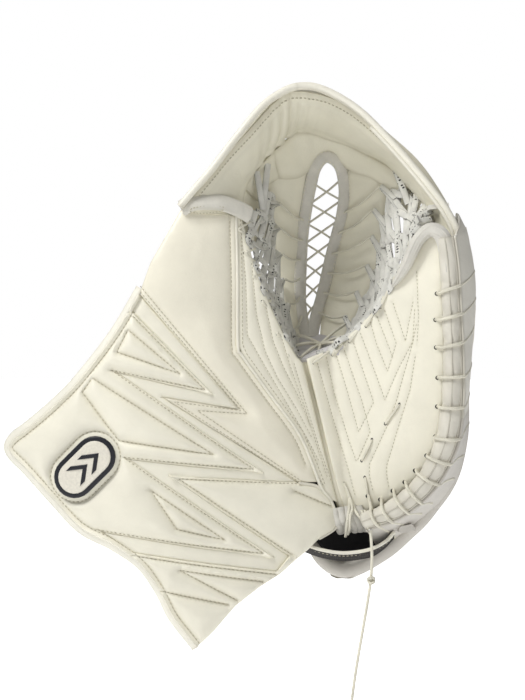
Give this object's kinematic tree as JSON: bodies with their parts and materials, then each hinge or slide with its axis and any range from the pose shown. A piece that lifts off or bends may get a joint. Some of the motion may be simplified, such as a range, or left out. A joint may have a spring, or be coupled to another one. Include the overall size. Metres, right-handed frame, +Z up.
{
  "type": "goalie catch glove",
  "caption": "White leather ice hockey goalie catching glove with laced T web, padded thumb and cuff, finger guard, wrist strap and hanging lace.",
  "frame": {"origin": "middle of the hand opening at the heel, between the palm and the guard over the back of the hand", "axes": "+Z up the glove towards the top of the web, +X to the finger side, +Y from the open palm to the back of the hand; the fold line leans 6.5 degrees from +Z towards -X, as the glove is held"},
  "size_m": [0.4232, 0.1573, 0.5794],
  "materials": {
    "leather_white": "smooth full-grain look, soft satin",
    "binding": "grey-white suede-like binding tape",
    "lining": "dark knitted lining",
    "foam": "closed-cell foam",
    "board": "stiff plastic board",
    "waxed_lace": "thin waxed lace",
    "skate_lace": "flat woven lace with black flecks",
    "webbing_dark": "dark woven strap",
    "hook_loop": "hook and loop patch",
    "badge_dark": "moulded rubber, satin",
    "badge_light": "moulded rubber, satin",
    "aglet": "clear-white plastic tip"
  },
  "bodies": {
    "finger_half": {"palm_cover": "leather_white", "palm_foam": "foam", "palm_liner": "lining", "palm_edge_roll": "binding", "palm_tip_binding": "binding", "perimeter_lace": "waxed_lace", "heel_lacing": "waxed_lace", "finger_guard_cover": "leather_white", "finger_guard_foam": "foam", "finger_guard_board": "board", "wrist_guard_cover": "leather_white", "wrist_guard_foam": "foam", "finger_gusset": "lining", "fingertip_cap": "leather_white", "finger_dividers": "lining", "web_side_band": "leather_white", "lace_eyelet": "binding", "lace_tail": "waxed_lace", "lace_knot": "waxed_lace", "lace_tip": "aglet", "strap_anchor": "webbing_dark", "backhand_patch": "hook_loop"},
    "web": {"crown_left_face": "leather_white", "crown_left_foam": "foam", "crown_left_back": "lining", "crown_right_face": "leather_white", "crown_right_foam": "foam", "crown_right_back": "lining", "crown_crease": "leather_white", "crown_binding": "binding", "stem_top": "leather_white", "strip_left": "leather_white", "strip_right": "leather_white", "slot_binding": "binding", "slot_lacing": "waxed_lace", "web_base": "leather_white", "pocket_net_left": "skate_lace", "pocket_net_right": "skate_lace", "palm_crease": "leather_white"},
    "thumb_half": {"thumb_palm_cover": "leather_white", "thumb_palm_foam": "foam", "thumb_block_cover": "leather_white", "thumb_block_foam": "foam", "thumb_board": "board", "thumb_guard": "foam", "thumb_gusset": "lining", "thumb_edge_tape": "binding", "cuff_cover": "leather_white", "cuff_foam": "foam", "cuff_board": "board", "cuff_liner": "lining", "cuff_binding": "binding", "cuff_bolt": "leather_white", "badge_backing": "badge_dark", "badge_face": "badge_light", "strap_patch": "hook_loop"},
    "wrist_strap": {"wrist_strap": "webbing_dark", "strap_edge": "binding"},
    "backhand_strap": {"backhand_strap": "webbing_dark"}
  },
  "joints": [
    {"name": "web_fold", "type": "hinge", "parent": "finger_half", "child": "web", "pos_m": [-0.01529, -0.024, 0.0989], "axis": [-0.1132, 0, 0.9936], "range_deg": [-4, 35], "stiffness_Nm_per_rad": 1},
    {"name": "thumb_fold", "type": "hinge", "parent": "web", "child": "thumb_half", "pos_m": [-0.01529, -0.024, 0.0989], "axis": [-0.1132, 0, 0.9936], "range_deg": [-4, 35], "stiffness_Nm_per_rad": 1},
    {"name": "wrist_strap_swing", "type": "hinge", "parent": "finger_half", "child": "wrist_strap", "pos_m": [0.04216, -0.031, 0.00984], "axis": [0, -1, 0], "range_deg": [0, 100]},
    {"name": "backhand_strap_peel", "type": "hinge", "parent": "finger_half", "child": "backhand_strap", "pos_m": [0.05669, 0.0154, 0.09604], "axis": [0.1132, 0, -0.9936], "range_deg": [0, 110]}
  ],
  "couplings": [
    {"joint": "thumb_fold", "follows": "web_fold", "ratio": 1}
  ]
}
